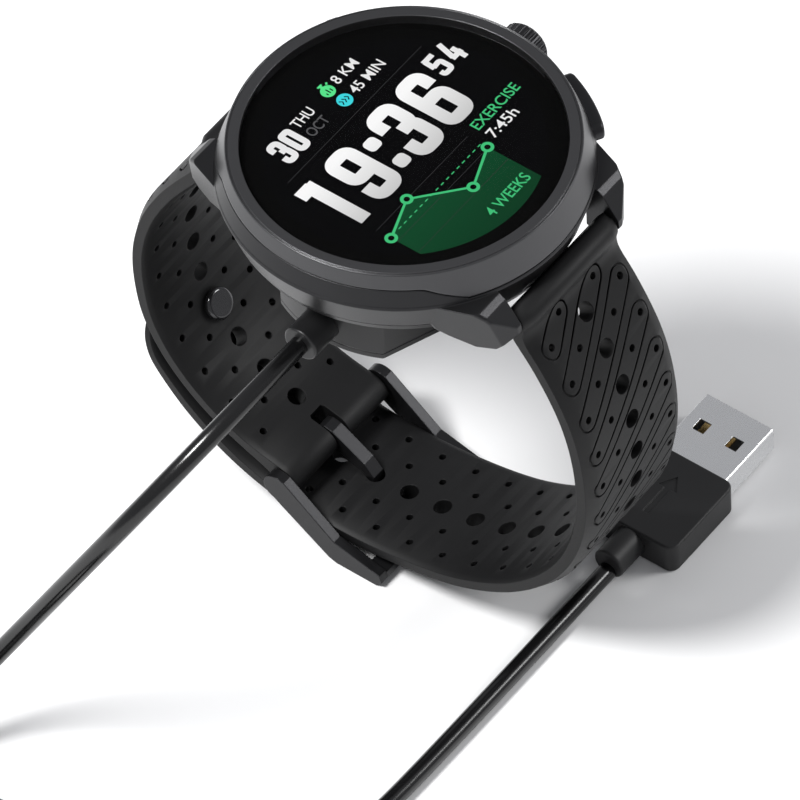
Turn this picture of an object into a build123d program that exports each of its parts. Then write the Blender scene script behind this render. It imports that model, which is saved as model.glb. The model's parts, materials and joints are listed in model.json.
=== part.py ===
from build123d import *
import math
import os

# GPS running watch on its charging dock, with a buckled strap and a USB charging lead.
# Millimetres. The origin is the centre of the display side, on the plane of the bezel's top.
# +X points to 3 o'clock, +Y to 12 o'clock and +Z out of the display. The watch stands on the
# buckle at the bottom of its closed strap loop, FLOOR below the bezel.

# ---- driving dimensions ---------------------------------------------------------------
GLASS_R = 22.9
RING_R = 24.5            # outside of the bezel's flat top
RIM_R = 24.9             # top edge of the sloping side
WIDEST_R = 26.8          # the case's widest line, where the slope turns inwards
WIDEST_Z = 5.3
BEZEL_SIDE = 2.2         # height of the bezel at 3 and 9 o'clock
BEZEL_SKIRT = 4.7        # height of the bezel beside the strap
CASE_BOTTOM = 10.1       # underside of the case middle
CASE_BOTTOM_R = 25.3
BACK_PLATE = 12.3        # underside of the back plate's rim
BACK_BOSS = 13.3         # underside of the raised centre of the back
CAVITY_R = 22.2
WALL_GAP = 0.1           # clearance between neighbouring parts
SEAM = 0.18              # visible joint line between the case's shells
NECK_R = 23.4            # upright wall of the case that the bezel fits over

STRAP_W = 22.0
LUG_GAP = 0.35           # strap edge to lug
STRAP_T = 3.0
SPRING_BAR = (26.9, -10.5)       # y, z of the 12 o'clock bar; mirrored in y at 6 o'clock
ROLL_R = 2.1             # strap end around its spring bar
SPRING_BAR_R = 0.75
HOLE_R = 1.4             # adjusting holes
HOLE_PITCH = 6.1
FLOOR = 85.1

BUCKLE_PIVOT = (16.9, -75.4)     # y, z of the buckle bar
BUCKLE_BAR_R = 0.8
RUNNING = 0.05           # radial clearance of a pin in its hole
ARM_T = 1.6              # buckle arm thickness
ARM_IN = STRAP_W / 2 + 0.4
TONGUE_W = 2.2

CROWN_AXIS_Z = -6.1
CROWN_R = 3.6
CROWN_END_X = 28.9
CROWN_POCKET_X = 24.4    # floor of the pocket that the crown is pressed into
BUTTON_ANGLE = 30.0      # degrees from 3 o'clock
BUTTON_Z = -6.2
BUTTON_HALF_L = 6.1
BUTTON_HALF_H = 1.55
BUTTON_R = 28.3          # the buttons' outer faces follow the round case
BUTTON_CAP_X = 25.2      # inner face of the cap
BUTTON_STEM_R = 0.9
BUTTON_POCKET_X = 24.3   # floor of the pocket that the pressed cap moves into
SEAL_R = 1.42            # rubber ring around a button's stem, held in a groove of the case

SENSOR_R = 7.5
CONTACT_R = 0.9          # charging contacts in the back
CONTACT_X = -11.6
CONTACT_Y = (-4.2, -1.4, 1.4, 4.2)
PIN_R = 0.55             # sprung pins in the dock
SCREW_CIRCLE_R = 20.9    # back screws

DOCK_TOP = 13.6
DOCK_BOTTOM = 23.8
DOCK_LID = 1.5
DOCK_WALL = 1.6
BOOT_Z = -19.5
BOOT_R = 2.75
BOOT_END_X = -25.4
BOOT_FLANGE_X = -17.6    # inner end of the boot

CABLE_R = 1.4
CABLE_LIFT = 0.05        # the lead's lowest line above the floor
LEAD_Z = -FLOOR + CABLE_R + CABLE_LIFT
LEAD_FALL = [(0, 0), (12, 0), (24, 5), (32, 16), (36, 31), (38, 47), (43, 61), (54, 70), (68, 73.4)]
LEAD_DROP = 73.4         # the second value of LEAD_FALL where the lead meets the floor
FALL_Y = 0.488           # lean of the falling part of the lead towards +Y
COIL_R_IN = 10.2
COIL_R_OUT = 23.0
COIL_H = 5.9
COIL_CENTRE = (-98.0, 14.2)

PLUG_Y = -27.0
PLUG_W = 15.2
PLUG_L = 15.4
PLUG_H = 5.4
SHELL_W = 12.0
SHELL_H = 4.5
SHELL_L = 11.75
SHELL_END_X = 40.3
SHELL_T = 0.3
SHELL_SUNK = 6.0         # length of shell inside the moulding
MARK_DEPTH = 0.2
RELIEF_L = 5.5
RELIEF_R = 2.5
SHELL_START_X = SHELL_END_X - SHELL_L
PLUG_START_X = SHELL_START_X - PLUG_L
PLUG_Z = -FLOOR + PLUG_H / 2

os.makedirs("parts", exist_ok=True)


def save(name, shape):
    export_step(shape, f"parts/{name}.step")


# ---- helpers --------------------------------------------------------------------------
def disc(r, top, bottom, x=0.0, y=0.0):
    """A vertical cylinder between two heights."""
    return Pos(x, y, (top + bottom) / 2) * Cylinder(r, top - bottom)


def ring(r_out, r_in, top, bottom):
    return disc(r_out, top, bottom) - disc(r_in, top + 1, bottom - 1)


def box_between(low, high):
    size = [h - l for l, h in zip(low, high)]
    mid = [(h + l) / 2 for l, h in zip(low, high)]
    return Pos(*mid) * Box(*size)


def rod_x(r, x0, x1, y, z):
    """A cylinder along X."""
    return Pos((x0 + x1) / 2, y, z) * Rot(0, 90, 0) * Cylinder(r, abs(x1 - x0))


def side_plate(points, x0, x1):
    """A polygon drawn in the Y-Z plane, extruded from x0 to x1."""
    outline = [Vector(x0, y, z) for y, z in points]
    face = Face(Wire.make_polygon(outline, close=True))
    return extrude(face, amount=abs(x1 - x0), dir=Vector(1 if x1 > x0 else -1, 0, 0))


def curve_yz(points):
    """A smooth curve through points of the Y-Z plane."""
    return Spline(*[Vector(0, y, z) for y, z in points])


def outward(curve, y, z):
    """Unit vector across a strap curve at a point of it, pointing away from the wrist."""
    along = curve % curve.param_at_point(Vector(0, y, z))
    across = Vector(0, -along.Z, along.Y)
    centre = Vector(0, 0, -48.0)
    return across if across.dot(Vector(0, y, z) - centre) > 0 else -across


def strap_solid(inner, thin_end):
    """A strap piece on its inner curve, drawn from the lug outwards, thinning at a free end."""
    edge_in = curve_yz(inner)
    outer = []
    for i, (y, z) in enumerate(inner):
        from_end = len(inner) - 1 - i
        thickness = STRAP_T if from_end >= len(thin_end) else thin_end[from_end]
        away = outward(edge_in, y, z)
        outer.append((y + thickness * away.Y, z + thickness * away.Z))
    edge_out = curve_yz(outer)
    end = Line(edge_out @ 1, edge_in @ 1)
    root = Line(edge_in @ 0, edge_out @ 0)
    face = Face(Wire([edge_out, end, edge_in, root]))
    return extrude(face, amount=STRAP_W / 2, dir=Vector(1, 0, 0), both=True)


def radial(angle, shape):
    """Turn a shape made along +X so that it points at the angle from 3 o'clock."""
    return Rot(0, 0, angle) * shape


def pill(half_length, half_height, depth, corner):
    """A rounded plate across Y and Z, its depth along +X from x = 0."""
    with BuildSketch(Plane.YZ) as outline:
        RectangleRounded(2 * half_length, 2 * half_height, corner)
    return extrude(outline.sketch, amount=depth, dir=Vector(1, 0, 0))


# ---- case -----------------------------------------------------------------------------
def slope_r(z):
    """Radius of the case's sloping side at a height."""
    return RIM_R + (WIDEST_R - RIM_R) * (-z) / WIDEST_Z


def turned(points):
    """A solid of revolution about Z from (radius, height) points, with its seam at 9 o'clock."""
    outline = Polyline(*[(-r, 0, z) for r, z in points], close=True)
    return revolve(Face(Wire(outline)), Axis.Z, 360)


def side_window(inset):
    """The part of the case sides where the bezel wall is short, right through along X."""
    half_top = 17.4 - inset
    half_low = 22.0 - inset
    top = -BEZEL_SIDE - inset
    low = -BEZEL_SKIRT - 2
    shape = side_plate([(-half_low, low), (-half_low, -BEZEL_SKIRT), (-half_top, top),
                        (half_top, top), (half_low, -BEZEL_SKIRT), (half_low, low)],
                       -WIDEST_R - 5, WIDEST_R + 5)
    bends = shape.edges().filter_by(Axis.X).group_by(Axis.Z)[-1]
    return fillet(bends, 2.5) - disc(NECK_R + 0.15, 0, -BEZEL_SKIRT - 3)


def bezel_ring():
    """Flat-topped ring with a sloping side that drops lower beside the strap and clamps the glass."""
    inside = GLASS_R + WALL_GAP
    groove = 0.16
    low = -BEZEL_SKIRT
    body = turned([(inside, 0), (RING_R, 0), (RING_R + 0.05, -groove), (RING_R + 0.2, -groove),
                   (RING_R + 0.25, 0), (RIM_R - 0.05, 0), (RIM_R + 0.05, -0.12), (slope_r(low), low),
                   (NECK_R + 0.15, low), (NECK_R + 0.15, -3.1), (21.8, -3.1), (21.8, -1.6), (inside, -1.6)])
    return body - side_window(0)


def lug_pair(sign):
    """Both lugs at 12 o'clock (sign 1) or 6 o'clock (sign -1), with flat leaning outer faces."""
    profile = [(14.0, -WIDEST_Z), (24.6, -WIDEST_Z), (25.6, -6.0), (28.2, -9.6), (28.3, -11.0), (25.9, -13.8),
               (23.6, -14.2), (19.8, -12.4), (16.4, -CASE_BOTTOM), (14.0, -CASE_BOTTOM)]
    inside = STRAP_W / 2 + LUG_GAP
    pair = None
    for side in (-1, 1):
        horn = side_plate([(sign * y, z) for y, z in profile], side * inside, side * 24.0)
        outer = Plane(origin=(side * 18.5, sign * 19.5, -5.2), z_dir=(side * 0.92, sign * 0.339, -0.195))
        tip = Plane(origin=(side * 15.5, sign * 26.2, 0), z_dir=(side * 0.528, sign * 0.849, 0))
        horn -= outer * Pos(0, 0, 15) * Box(60, 60, 30)
        horn -= tip * Pos(0, 0, 15) * Box(60, 60, 30)
        end_edges = [e for e in horn.edges() if abs(e.center().Y) > 23 and abs(e.center().X) > inside + 0.5]
        horn = fillet(end_edges, 0.5)
        horn -= disc(24.0, 0, -CASE_BOTTOM)
        horn -= disc(CASE_BOTTOM_R, -CASE_BOTTOM, -20)
        hole = rod_x(SPRING_BAR_R + RUNNING, side * (inside - 1), side * (inside + 1.5),
                     sign * SPRING_BAR[0], SPRING_BAR[1])
        horn -= hole
        pair = horn if pair is None else pair + horn
    return pair


def strap_seats():
    """Round clearance for the two strap ends between the lugs."""
    y, z = SPRING_BAR
    half = STRAP_W / 2 + LUG_GAP
    return rod_x(ROLL_R + 0.3, -half, half, y, z) + rod_x(ROLL_R + 0.3, -half, half, -y, z)


def cut_controls(body):
    """Cuts the stem holes and the pockets of the crown and the two buttons."""
    body -= rod_x(1.75, 20, 30, 0, CROWN_AXIS_Z)
    body -= rod_x(CROWN_R + 0.3, CROWN_POCKET_X, 30, 0, CROWN_AXIS_Z)
    pocket = pill(BUTTON_HALF_L + 0.2, BUTTON_HALF_H + 0.2, 5, 1.7)
    for angle in (BUTTON_ANGLE, -BUTTON_ANGLE):
        body -= radial(angle, rod_x(BUTTON_STEM_R + RUNNING, 20, 30, 0, BUTTON_Z))
        body -= radial(angle, rod_x(SEAL_R + 0.03, 22.5, 23.0, 0, BUTTON_Z))
        body -= radial(angle, Pos(BUTTON_POCKET_X, 0, BUTTON_Z) * pocket)
    return body


def case_middle():
    """Ring-shaped case body with raised sides, four lugs, and openings for crown and buttons."""
    seat = -BEZEL_SKIRT - SEAM
    ring_body = turned([(CAVITY_R, -3.3), (NECK_R, -3.3), (NECK_R, seat), (slope_r(seat), seat),
                        (WIDEST_R, -WIDEST_Z), (CASE_BOTTOM_R, -CASE_BOTTOM), (CAVITY_R, -CASE_BOTTOM)])
    top = -BEZEL_SIDE - SEAM
    low = seat - 0.27
    inset = 0.03             # keeps the two sloping faces apart
    sides = turned([(NECK_R, top), (slope_r(top) - inset, top), (slope_r(low) - inset, low), (NECK_R, low)])
    body = cut_controls(ring_body) + cut_controls(sides & side_window(SEAM))
    return body + cut_controls(lug_pair(1)) + cut_controls(lug_pair(-1)) - strap_seats()


def case_back():
    """Back cover with a raised centre, windowed for the heart-rate sensor."""
    top = -CASE_BOTTOM - SEAM
    body = turned([(0, top), (CASE_BOTTOM_R - 0.1, top), (24.4, -BACK_PLATE + 0.4), (24.0, -BACK_PLATE),
                   (0, -BACK_PLATE)])
    body += disc(15.5, -BACK_PLATE, -BACK_BOSS)
    body -= strap_seats()
    body -= disc(13.5, -CASE_BOTTOM, -11.9)
    body -= disc(SENSOR_R + WALL_GAP, -CASE_BOTTOM, -BACK_BOSS - 1)
    for y in CONTACT_Y:
        body -= disc(CONTACT_R + 0.05, -CASE_BOTTOM, -BACK_BOSS - 1, CONTACT_X, y)
    for x, y in back_screw_places():
        body -= disc(0.75, -CASE_BOTTOM, -BACK_PLATE - 1, x, y)
        body -= disc(1.25, -11.9, -BACK_PLATE - 1, x, y)
    return body


def back_screw_places():
    return [(SCREW_CIRCLE_R * math.cos(math.radians(a)), SCREW_CIRCLE_R * math.sin(math.radians(a)))
            for a in (45, 135, 225, 315)]


def back_screws():
    """Four short screws with a slot across the head."""
    group = []
    for x, y in back_screw_places():
        screw = disc(0.7, -9.0, -12.0, x, y) + disc(1.2, -11.95, -12.25, x, y)
        screw -= box_between((x - 1.5, y - 0.18, -13), (x + 1.5, y + 0.18, -12.12))
        group.append(screw)
    return Compound(children=group)


def screw_bosses():
    """Four posts standing inside the case that the back screws go into."""
    group = []
    for x, y in back_screw_places():
        group.append(disc(1.2, -7.5, -CASE_BOTTOM, x, y) - disc(0.72, -8.8, -12, x, y))
    return Compound(children=group)


def charge_contacts():
    return Compound(children=[disc(CONTACT_R, -11.5, -BACK_BOSS - 0.05, CONTACT_X, y)
                              for y in CONTACT_Y])


def sensor_board():
    """Small board with one central lamp and two light detectors."""
    body = disc(6.8, -11.1, -11.7)
    body += disc(1.3, -11.6, -12.2)
    for x in (-4.2, 4.2):
        body += box_between((x - 1.2, -1.6, -12.2), (x + 1.2, 1.6, -11.6))
    return body


# ---- crown and buttons ----------------------------------------------------------------
def crown_knob():
    """Knurled cap, open on the case side, with a domed end."""
    cap = rod_x(CROWN_R, 25.4, CROWN_END_X, 0, CROWN_AXIS_Z)
    cap = chamfer(cap.edges().group_by(Axis.X)[-1], 0.5)
    teeth = 24
    for i in range(teeth):
        a = 2 * math.pi * i / teeth
        y = CROWN_R * math.cos(a)
        z = CROWN_AXIS_Z + CROWN_R * math.sin(a)
        cap -= rod_x(0.3, 25.8, CROWN_END_X + 1, y, z)
    cap -= rod_x(2.3, 25.0, 27.2, 0, CROWN_AXIS_Z)
    cap -= rod_x(0.95, 25.0, 28.2, 0, CROWN_AXIS_Z)
    return cap


def crown_stem():
    """Stem with the slotted encoder wheel at its inner end."""
    stem = rod_x(0.95, 18.6, 28.2, 0, CROWN_AXIS_Z)
    wheel = rod_x(2.0, 18.9, 19.5, 0, CROWN_AXIS_Z)
    return stem + wheel


def crown_plunger():
    """Collar that slides with the stem but does not turn; it presses the switch."""
    collar = rod_x(1.7, 16.9, 18.5, 0, CROWN_AXIS_Z)
    arm = box_between((16.9, -0.6, CROWN_AXIS_Z - 2.3), (18.5, 0.6, CROWN_AXIS_Z - 1.2))
    return collar + arm


def crown_tube():
    tube = rod_x(1.7, 20.6, 25.2, 0, CROWN_AXIS_Z) - rod_x(1.0, 20, 27, 0, CROWN_AXIS_Z)
    return tube


def crown_switch():
    return box_between((14.2, -2.0, CROWN_AXIS_Z - 1.6), (16.0, 2.0, CROWN_AXIS_Z + 1.6))


def side_button(angle):
    """Long pill-shaped button, curved like the case, with its stem."""
    cap = Pos(BUTTON_CAP_X, 0, BUTTON_Z) * pill(BUTTON_HALF_L, BUTTON_HALF_H, 5, 1.5)
    cap = cap & disc(BUTTON_R, 0, -15)
    cap = fillet(cap.faces().sort_by(Axis.X)[-1].edges(), 0.5)
    stem = rod_x(BUTTON_STEM_R, 20.6, BUTTON_CAP_X + 0.2, 0, BUTTON_Z)
    foot = rod_x(1.5, 20.6, 21.2, 0, BUTTON_Z)
    return radial(angle, cap + stem + foot)


def button_seal(angle):
    """Rubber ring in the case wall that the button's stem slides through."""
    seal = rod_x(SEAL_R, 22.53, 22.97, 0, BUTTON_Z)
    return radial(angle, seal - rod_x(BUTTON_STEM_R + 0.02, 22, 24, 0, BUTTON_Z))


def button_switch(angle):
    return radial(angle, box_between((17.6, -2.0, BUTTON_Z - 1.5), (19.6, 2.0, BUTTON_Z + 1.5)))


# ---- strap ----------------------------------------------------------------------------
UPPER_IN = [(24.9, -13.4), (29.8, -19.6), (34.6, -26.6), (38.2, -33.9), (40.1, -41.0), (40.3, -48.7),
            (39.3, -54.8), (36.9, -60.1), (33.4, -64.6), (29.0, -68.3), (24.1, -71.0), (18.5, -73.2)]
LOWER_IN = [(-24.9, -13.4), (-29.6, -20.0), (-33.6, -28.2), (-35.6, -38.5), (-34.9, -50.5),
            (-31.0, -60.6), (-23.8, -69.3), (-14.0, -75.4), (-2.5, -78.5), (9.0, -79.5), (18.5, -78.5),
            (26.5, -75.4), (33.2, -70.5), (38.3, -65.0), (41.1, -60.8), (42.4, -57.5)]
LOWER_HOLES_UP = 15      # holes between the buckle and the lug
UPPER_HOLES_UP = 4       # holes between hole 0 and the lug
TAIL_THIN = (1.3, 2.0, 2.5)      # thickness at the last three points of the free end


def hole_plane(curve, at):
    """Plane square to a hole, at a length along a strap curve, facing away from the wrist."""
    spot = curve.position_at(at, position_mode=PositionMode.LENGTH)
    return Plane(origin=spot, z_dir=outward(curve, spot.Y, spot.Z))


def hole_through(curve, at):
    return hole_plane(curve, at) * Cylinder(HOLE_R, 8)


def length_to(curve, y, z):
    """Length along a strap curve to the place nearest a point."""
    steps = 400
    best = min(range(steps + 1), key=lambda i: (curve @ (i / steps) - Vector(0, y, z)).length)
    return curve.length * best / steps


def upper_hole_at(i):
    """Length along the 12 o'clock piece to one of its holes; hole 0 is level with the wrist."""
    return length_to(curve_yz(UPPER_IN), 40.3, -42.4) + i * HOLE_PITCH


def stud_plane():
    return hole_plane(curve_yz(UPPER_IN), upper_hole_at(3))


def strap_upper():
    """12 o'clock strap piece: lug roll, a row of holes, tongue slot, buckle loop."""
    body = strap_solid(UPPER_IN, ())
    y, z = SPRING_BAR
    body += rod_x(ROLL_R, -STRAP_W / 2, STRAP_W / 2, y, z)
    body -= rod_x(SPRING_BAR_R + RUNNING, -15, 15, y, z)
    by, bz = BUCKLE_PIVOT
    body += rod_x(2.35, -STRAP_W / 2, STRAP_W / 2, by, bz)
    body -= rod_x(BUCKLE_BAR_R, -15, 15, by, bz)
    slot = side_plate([(19.4, -70.0), (21.4, -79.0), (9.0, -79.0), (9.0, -70.0)],
                      -TONGUE_W / 2 - 0.4, TONGUE_W / 2 + 0.4)
    body -= slot
    inner = curve_yz(UPPER_IN)
    for i in range(-UPPER_HOLES_UP, 7):
        body -= hole_through(inner, upper_hole_at(i))
    return body


def strap_lower():
    """6 o'clock strap piece: lug roll, a row of adjusting holes and the tucked free end."""
    body = strap_solid(LOWER_IN, TAIL_THIN)
    y, z = SPRING_BAR
    body += rod_x(ROLL_R, -STRAP_W / 2, STRAP_W / 2, -y, z)
    body -= rod_x(SPRING_BAR_R + RUNNING, -15, 15, -y, z)
    inner = curve_yz(LOWER_IN)
    tongue_at = length_to(inner, 9.1, -79.4)
    for i in range(-LOWER_HOLES_UP, 5):
        body -= hole_through(inner, tongue_at + i * HOLE_PITCH)
    body -= stud_plane() * Pos(0, 0, 6) * Cylinder(HOLE_R, 6)
    return body


def strap_stud():
    """Keeper stud: a domed head inside, a shank through both strap pieces."""
    head = Pos(0, 0, -0.7) * Cylinder(2.5, 1.3)
    head = fillet(head.edges(), 0.6)
    head += Pos(0, 0, -0.2) * Cylinder(2.0, 0.3)
    shank = Pos(0, 0, 3.2) * Cylinder(HOLE_R - 0.05, 6.6)
    return stud_plane() * (head + shank)


def spring_bar(sign):
    """Spring bar through the strap roll, with its ends in the lugs."""
    y, z = sign * SPRING_BAR[0], SPRING_BAR[1]
    half = STRAP_W / 2 + LUG_GAP + 1.2
    return rod_x(SPRING_BAR_R, -half, half, y, z)


# ---- buckle ---------------------------------------------------------------------------
def buckle_frame():
    """Two side arms joined by a crossbar with a rest for the tongue."""
    arm = [(16.9, -73.0), (15.6, -73.3), (6.9, -80.6), (0.2, -82.3), (-1.2, -82.6), (-1.6, -84.0),
           (-0.6, -FLOOR), (6.6, -FLOOR), (8.0, -84.6), (15.6, -79.2), (18.0, -77.4)]
    body = None
    by, bz = BUCKLE_PIVOT
    for side in (-1, 1):
        x0 = side * ARM_IN
        x1 = side * (ARM_IN + ARM_T)
        plate = side_plate(arm, x0, x1) + rod_x(2.4, x0, x1, by, bz)
        plate -= rod_x(BUCKLE_BAR_R + RUNNING, x0 - side, x1 - side * 0.5, by, bz)
        body = plate if body is None else body + plate
    bar = [(-1.4, -82.9), (1.7, -82.9), (1.7, -84.7), (1.3, -FLOOR), (-0.6, -FLOOR), (-1.6, -84.0)]
    body += side_plate(bar, -ARM_IN - 0.1, ARM_IN + 0.1)
    body -= box_between((-TONGUE_W / 2 - 0.3, -3, -84.2), (TONGUE_W / 2 + 0.3, 3, -82))
    return body


def buckle_tongue():
    """Bent tongue that turns on the buckle bar and passes through an adjusting hole."""
    outline = [(18.2, -73.6), (17.2, -73.2), (15.8, -73.5), (10.2, -77.0), (8.5, -79.0), (8.4, -82.7),
               (-1.3, -83.0), (-1.3, -84.0), (8.8, -84.0), (9.8, -83.3), (9.8, -79.5),
               (11.0, -78.5), (15.6, -77.0), (17.4, -77.2), (18.6, -76.0)]
    half = TONGUE_W / 2
    by, bz = BUCKLE_PIVOT
    body = side_plate(outline, -half, half)
    body -= rod_x(BUCKLE_BAR_R + RUNNING, -5, 5, by, bz)
    return body


def buckle_bar():
    half = ARM_IN + ARM_T - 0.6
    return rod_x(BUCKLE_BAR_R, -half, half, *BUCKLE_PIVOT)


# ---- charging dock --------------------------------------------------------------------
def dock_outline(z, inset=0.0):
    """Long eight-cornered outline with two bowed ends."""
    x_end, x_bow, x_mid = 18.3 - inset, 20.4 - inset, 8.2 - inset * 0.4
    y_end, y_mid = 9.0 - inset * 0.7, 13.1 - inset
    edges = [
        ThreePointArc((-x_end, y_end, z), (-x_bow, 0, z), (-x_end, -y_end, z)),
        Polyline((-x_end, -y_end, z), (-x_mid, -y_mid, z), (x_mid, -y_mid, z), (x_end, -y_end, z)),
        ThreePointArc((x_end, -y_end, z), (x_bow, 0, z), (x_end, y_end, z)),
        Polyline((x_end, y_end, z), (x_mid, y_mid, z), (-x_mid, y_mid, z), (-x_end, y_end, z)),
    ]
    return Face(Wire([e for group in edges for e in group.edges()]))


def dock_housing():
    """Upper shell of the dock, open below, with pockets for the pins and magnets."""
    low = -DOCK_BOTTOM + DOCK_LID
    shell = extrude(dock_outline(low), amount=-DOCK_TOP - low, dir=Vector(0, 0, 1))
    shell = fillet(shell.edges().filter_by(Axis.Z), 0.8)
    shell -= extrude(dock_outline(low, DOCK_WALL), amount=7.0, dir=Vector(0, 0, 1))
    shell -= disc(8.4, -DOCK_TOP + 1, -14.3)
    for y in CONTACT_Y:
        shell -= disc(PIN_R + RUNNING, -10, -16, CONTACT_X, y)
    shell -= rod_x(BOOT_R, -30, -16, 0, BOOT_Z)
    return shell


def dock_lid():
    low = -DOCK_BOTTOM
    lid = extrude(dock_outline(low), amount=DOCK_LID - WALL_GAP, dir=Vector(0, 0, 1))
    lid = fillet(lid.edges().filter_by(Axis.Z), 0.8)
    lid = chamfer(lid.faces().sort_by(Axis.Z)[0].edges(), 0.5)
    lip = extrude(dock_outline(low + DOCK_LID - WALL_GAP, DOCK_WALL + 0.15), amount=1.0,
                  dir=Vector(0, 0, 1))
    return lid + (lip - rod_x(BOOT_R + 0.6, -30, -14, 0, BOOT_Z))


def dock_magnets():
    """Four flat magnets under the dock's top."""
    return Compound(children=[disc(2.4, -16.3, -17.8, x, y)
                              for x in (-1.5, 11.5) for y in (-6.5, 6.5)])


def dock_pin_block():
    """Plastic block that holds the sprung pins under the housing's top."""
    block = box_between((CONTACT_X - 2, -6.2, -17.0), (CONTACT_X + 2, 6.2, -15.32))
    for y in CONTACT_Y:
        block -= disc(PIN_R + RUNNING, -10, -20, CONTACT_X, y)
    return block


def dock_pins():
    """Four sprung contact pins, tied by the flange that their springs push on."""
    bar = box_between((CONTACT_X - 0.8, -5.2, -18.3), (CONTACT_X + 0.8, 5.2, -17.9))
    for y in CONTACT_Y:
        bar += disc(PIN_R, -BACK_BOSS - 0.08, -18.0, CONTACT_X, y)
    return bar


def dock_board():
    return box_between((-14, -7, -19.6), (-2, 7, -19.0)) - box_between((-15, -2.9, -20), (-11, 2.9, -18.5))


def cable_boot():
    """Round strain relief that the lead leaves the dock through."""
    boot = rod_x(BOOT_R, BOOT_END_X, BOOT_FLANGE_X, 0, BOOT_Z)
    return fillet(boot.edges().group_by(Axis.X)[0], 0.3)


# ---- lead -----------------------------------------------------------------------------
LEAD_DOCK = [(BOOT_END_X - a, FALL_Y * b, BOOT_Z + (LEAD_Z - BOOT_Z) * b / LEAD_DROP) for a, b in LEAD_FALL]
LEAD_PLUG = [(-98.0, -7.4, LEAD_Z), (-86.0, -9.5, LEAD_Z), (-75.0, -15.5, LEAD_Z),
             (-64.0, -22.0, LEAD_Z), (-52.0, -26.0, LEAD_Z), (-38.0, PLUG_Y, LEAD_Z),
             (PLUG_START_X - RELIEF_L, PLUG_Y, LEAD_Z)]


def lead_tube(route, name):
    """A tube of straight runs joined by tangent arcs."""
    points = [Vector(*p) for p in route]
    runs = [b - a for a, b in zip(points, points[1:])]
    radii = []
    for one, two in zip(runs, runs[1:]):
        turn = math.radians(one.get_angle(two))
        radii.append(0.45 * min(one.length, two.length) / math.tan(turn / 2))
    print(name, "bend radii", [round(r, 1) for r in radii])
    path = FilletPolyline(*points, radius=radii)
    start = Plane(origin=path @ 0, z_dir=path % 0)
    tube = sweep(start * Circle(CABLE_R), path=path)
    print(name, "length", round(path.length, 1), "volume", round(tube.volume, 1),
          "section x length", round(math.pi * CABLE_R ** 2 * path.length, 1))
    return tube


def lead_coil():
    """Outer shape of the wound length of the lead."""
    x, y = COIL_CENTRE
    top = -FLOOR + COIL_H
    return disc(COIL_R_OUT, top, -FLOOR, x, y) - disc(COIL_R_IN, top + 1, -FLOOR - 1, x, y)


# ---- plug -----------------------------------------------------------------------------
def arrow_mark():
    """Shallow arrow in the top of the plug that points the way it goes in."""
    mid_x = (PLUG_START_X + SHELL_START_X) / 2
    outline = [(-4.0, -0.5), (1.4, -0.5), (1.4, -1.6), (4.0, 0.0), (1.4, 1.6), (1.4, 0.5), (-4.0, 0.5)]
    corners = [(mid_x + x, PLUG_Y + y, -FLOOR + PLUG_H - MARK_DEPTH) for x, y in outline]
    return extrude(Face(Wire(Polyline(*corners, close=True))), amount=1, dir=Vector(0, 0, 1))


def plug_overmold():
    body = box_between((PLUG_START_X, PLUG_Y - PLUG_W / 2, -FLOOR),
                       (SHELL_START_X, PLUG_Y + PLUG_W / 2, -FLOOR + PLUG_H))
    body = fillet(body.edges().filter_by(Axis.Z), 1.6)
    body = fillet(body.edges().group_by(Axis.Z)[-1] + body.edges().group_by(Axis.Z)[0], 0.35)
    body -= arrow_mark()
    pocket = box_between((SHELL_START_X - SHELL_SUNK, PLUG_Y - SHELL_W / 2, PLUG_Z - SHELL_H / 2),
                         (SHELL_START_X + 1, PLUG_Y + SHELL_W / 2, PLUG_Z + SHELL_H / 2))
    return body - pocket


def plug_relief():
    sleeve = rod_x(RELIEF_R, PLUG_START_X - RELIEF_L, PLUG_START_X, PLUG_Y, PLUG_Z)
    sleeve = fillet(sleeve.edges().group_by(Axis.X)[0], 0.3)
    return sleeve


def plug_shell():
    """Folded metal shell with four latch windows."""
    outside = box_between((SHELL_START_X - SHELL_SUNK, PLUG_Y - SHELL_W / 2, PLUG_Z - SHELL_H / 2),
                          (SHELL_END_X, PLUG_Y + SHELL_W / 2, PLUG_Z + SHELL_H / 2))
    outside = fillet(outside.edges().filter_by(Axis.X), 0.4)
    inside = box_between((SHELL_START_X - 7, PLUG_Y - SHELL_W / 2 + SHELL_T, PLUG_Z - SHELL_H / 2 + SHELL_T),
                         (SHELL_END_X + 1, PLUG_Y + SHELL_W / 2 - SHELL_T, PLUG_Z + SHELL_H / 2 - SHELL_T))
    shell = outside - inside
    for y in (-2.9, 2.9):
        shell -= box_between((SHELL_START_X + 5.2, PLUG_Y + y - 1.0, PLUG_Z - 5),
                             (SHELL_START_X + 7.4, PLUG_Y + y + 1.0, PLUG_Z + 5))
    return shell


def plug_insulator():
    """Tongue inside the shell that carries the contacts."""
    half = SHELL_W / 2 - SHELL_T - 0.02
    low = PLUG_Z - SHELL_H / 2 + SHELL_T + 0.02
    return box_between((SHELL_START_X - 5.5, PLUG_Y - half, low), (SHELL_END_X - 0.6, PLUG_Y + half, low + 1.8))


def plug_contacts():
    top = PLUG_Z - SHELL_H / 2 + SHELL_T + 1.82
    group = []
    for y in (-3.5, -1.0, 1.0, 3.5):
        group.append(box_between((SHELL_START_X + 1, PLUG_Y + y - 0.5, top),
                                 (SHELL_END_X - 1.4, PLUG_Y + y + 0.5, top + 0.2)))
    return Compound(children=group)


# ---- inside of the watch --------------------------------------------------------------
def display_glass():
    body = disc(GLASS_R, -0.25, -1.45)
    return chamfer(body.edges().group_by(Axis.Z)[-1], 0.2)


def antenna_ring():
    """Antenna on a carrier ring under the bezel, open at 9 o'clock and beside the crown."""
    gaps = box_between((-30, -2.5, -6), (-15, 2.5, -2)) + box_between((15, -2.5, -6), (30, 2.5, -2))
    return ring(21.7, 20.4, -3.5, -4.7) - gaps


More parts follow.
